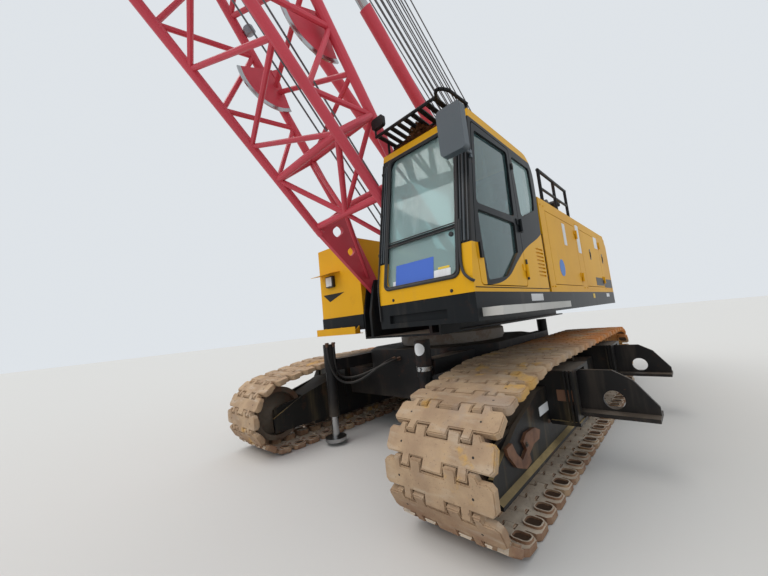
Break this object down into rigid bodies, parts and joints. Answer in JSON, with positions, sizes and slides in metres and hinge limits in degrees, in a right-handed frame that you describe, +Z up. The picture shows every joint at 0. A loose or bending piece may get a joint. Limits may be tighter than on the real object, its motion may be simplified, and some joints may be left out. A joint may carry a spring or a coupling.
{
  "type": "crawler crane",
  "caption": "Crawler crane with tracks that spread, jacks, a slewing upper with cab, houses, winches, gantry and counterweight, a luffing lattice boom with backstops, stays and hook block",
  "frame": {"origin": "the slewing axis at ground level", "axes": "+X forward along the tracks, +Y to the crane's left, +Z up"},
  "size_m": [13.8358, 4.7, 12.4404],
  "materials": {
    "black_paint": "worn black paint with dried mud",
    "yellow_paint": "sun-faded yellow paint with rust at the edges",
    "red_paint": "faded red paint",
    "cast_track": "cast shoes with dried clay and rust",
    "dark_iron": "greasy cast iron",
    "bright_steel": "bright sliding steel",
    "rope": "greased wire rope",
    "plank": "dusty light metal plank",
    "glass": "tinted cab glass",
    "trim": "dark seat and consoles"
  },
  "bodies": {
    "carbody": {"carbody": "black_paint", "ring_lower": "dark_iron", "jack_cylinders": "black_paint"},
    "left_track_body": {"left_track": "cast_track", "left_track_frame": "black_paint", "left_running_wheels": "dark_iron"},
    "right_track_body": {"right_track": "cast_track", "right_track_frame": "black_paint", "right_running_wheels": "dark_iron"},
    "jack_front_left": {"jack_rod_front_left": "bright_steel"},
    "jack_front_right": {"jack_rod_front_right": "bright_steel"},
    "jack_rear_left": {"jack_rod_rear_left": "bright_steel"},
    "jack_rear_right": {"jack_rod_rear_right": "bright_steel"},
    "upper": {"deck_frame": "black_paint", "ring_upper": "dark_iron", "walkway": "plank", "left_house": "yellow_paint", "right_house": "yellow_paint", "engine_block": "dark_iron", "counterweight": "yellow_paint", "gantry": "red_paint", "handrails": "black_paint", "exhaust": "black_paint", "cab_shell": "yellow_paint", "cab_glass": "glass", "cab_interior": "trim", "cab_roof_guard": "black_paint", "mirrors": "black_paint", "frame_pins": "dark_iron"},
    "cab_door_body": {"cab_door": "black_paint", "cab_door_glass": "glass"},
    "left_hatch_front_body": {"left_hatch_front": "yellow_paint"},
    "left_hatch_rear_body": {"left_hatch_rear": "yellow_paint"},
    "right_hatch_front_body": {"right_hatch_front": "yellow_paint"},
    "right_hatch_rear_body": {"right_hatch_rear": "yellow_paint"},
    "hoist_drum_body": {"hoist_drum": "dark_iron"},
    "spare_drum_body": {"spare_drum": "dark_iron"},
    "luff_drum_body": {"luff_drum": "dark_iron"},
    "gantry_sheaves_body": {"gantry_sheaves": "dark_iron"},
    "luff_ropes_body": {"luff_ropes": "rope"},
    "boom": {"boom_foot_section": "red_paint", "boom_head_section": "red_paint"},
    "head_sheaves_body": {"boom_sheaves": "dark_iron"},
    "backstop_tubes_body": {"backstop_tubes": "red_paint"},
    "backstop_rods_body": {"backstop_rods": "bright_steel"},
    "stays": {"pendants": "rope", "bridle_ropes": "rope"},
    "hoist_ropes_body": {"hoist_ropes": "rope"},
    "hook_block_body": {"hook_block": "yellow_paint", "block_ropes": "rope"},
    "hook_body": {"hook": "red_paint"}
  },
  "joints": [
    {"name": "left_track_spread", "type": "slide", "parent": "carbody", "child": "left_track_body", "axis": [0, 1, 0], "range_m": [0, 0.42]},
    {"name": "right_track_spread", "type": "slide", "parent": "carbody", "child": "right_track_body", "axis": [0, -1, 0], "range_m": [0, 0.42]},
    {"name": "jack_front_left_extend", "type": "slide", "parent": "carbody", "child": "jack_front_left", "axis": [0, 0, -1], "range_m": [0, 0.38]},
    {"name": "jack_front_right_extend", "type": "slide", "parent": "carbody", "child": "jack_front_right", "axis": [0, 0, -1], "range_m": [0, 0.38]},
    {"name": "jack_rear_left_extend", "type": "slide", "parent": "carbody", "child": "jack_rear_left", "axis": [0, 0, -1], "range_m": [0, 0.38]},
    {"name": "jack_rear_right_extend", "type": "slide", "parent": "carbody", "child": "jack_rear_right", "axis": [0, 0, -1], "range_m": [0, 0.38]},
    {"name": "slew", "type": "hinge", "parent": "carbody", "child": "upper", "pos_m": [0, 0, 1.155], "axis": [0, 0, 1], "continuous": true},
    {"name": "cab_door_hinge", "type": "hinge", "parent": "upper", "child": "cab_door_body", "pos_m": [1.033, 1.584, 2.2], "axis": [0, 0, 1], "range_deg": [0, 165]},
    {"name": "left_hatch_front_hinge", "type": "hinge", "parent": "upper", "child": "left_hatch_front_body", "pos_m": [-1.103, 1.584, 2.1], "axis": [0, 0, 1], "range_deg": [0, 110]},
    {"name": "left_hatch_rear_hinge", "type": "hinge", "parent": "upper", "child": "left_hatch_rear_body", "pos_m": [-2.653, 1.584, 2.1], "axis": [0, 0, 1], "range_deg": [0, 110]},
    {"name": "right_hatch_front_hinge", "type": "hinge", "parent": "upper", "child": "right_hatch_front_body", "pos_m": [-0.808, -1.584, 2.1], "axis": [0, 0, -1], "range_deg": [0, 110]},
    {"name": "right_hatch_rear_hinge", "type": "hinge", "parent": "upper", "child": "right_hatch_rear_body", "pos_m": [-3.258, -1.584, 2.1], "axis": [0, 0, -1], "range_deg": [0, 110]},
    {"name": "hoist_drum_turn", "type": "hinge", "parent": "upper", "child": "hoist_drum_body", "pos_m": [0.15, 0, 1.9], "axis": [0, 1, 0], "continuous": true},
    {"name": "spare_drum_turn", "type": "hinge", "parent": "upper", "child": "spare_drum_body", "pos_m": [-0.55, 0, 1.9], "axis": [0, 1, 0], "continuous": true},
    {"name": "luff_drum_turn", "type": "hinge", "parent": "upper", "child": "luff_drum_body", "pos_m": [-2.35, 0, 1.9], "axis": [0, 1, 0], "continuous": true},
    {"name": "gantry_sheaves_turn", "type": "hinge", "parent": "upper", "child": "gantry_sheaves_body", "pos_m": [-3.26, 0, 3.4], "axis": [0, 1, 0], "continuous": true},
    {"name": "boom_luff", "type": "hinge", "parent": "upper", "child": "boom", "pos_m": [0.954, 0, 1.92], "axis": [0, -1, 0], "range_deg": [-21.6, 28.4]},
    {"name": "luff_ropes_turn", "type": "hinge", "parent": "upper", "child": "luff_ropes_body", "pos_m": [-3.26, 0, 3.4], "axis": [0, -1, 0], "range_deg": [-21.6, 28.4]},
    {"name": "head_sheaves_turn", "type": "hinge", "parent": "boom", "child": "head_sheaves_body", "pos_m": [9.46779, 0, 11.76017], "axis": [0, 1, 0], "continuous": true},
    {"name": "backstop_turn", "type": "hinge", "parent": "upper", "child": "backstop_tubes_body", "pos_m": [-1.85, 0, 1.9], "axis": [0, -1, 0], "range_deg": [-21.6, 28.4]},
    {"name": "backstop_slide", "type": "slide", "parent": "backstop_tubes_body", "child": "backstop_rods_body", "axis": [0.7435, 0, 0.6687], "range_m": [-1, 0.76]},
    {"name": "stays_turn", "type": "hinge", "parent": "boom", "child": "stays", "pos_m": [8.76247, 0, 12.31921], "axis": [0, -1, 0], "range_deg": [-5, 5]},
    {"name": "hoist_ropes_turn", "type": "hinge", "parent": "boom", "child": "hoist_ropes_body", "pos_m": [9.46779, 0, 11.76017], "axis": [0, -1, 0], "range_deg": [-30, 25]},
    {"name": "hook_block_travel", "type": "slide", "parent": "hoist_ropes_body", "child": "hook_block_body", "axis": [0, 0, -1], "range_m": [-1.3, 2.2]},
    {"name": "hook_swivel", "type": "hinge", "parent": "hook_block_body", "child": "hook_body", "pos_m": [9.46779, 0, 8.88017], "axis": [0, 0, 1], "continuous": true}
  ],
  "couplings": [
    {"joint": "luff_ropes_turn", "follows": "boom_luff", "ratio": 0.852},
    {"joint": "backstop_turn", "follows": "boom_luff", "ratio": 0.749},
    {"joint": "backstop_slide", "follows": "boom_luff", "m_per_rad": -1.974},
    {"joint": "stays_turn", "follows": "boom_luff", "ratio": -0.148},
    {"joint": "hoist_ropes_turn", "follows": "boom_luff", "ratio": -1}
  ]
}
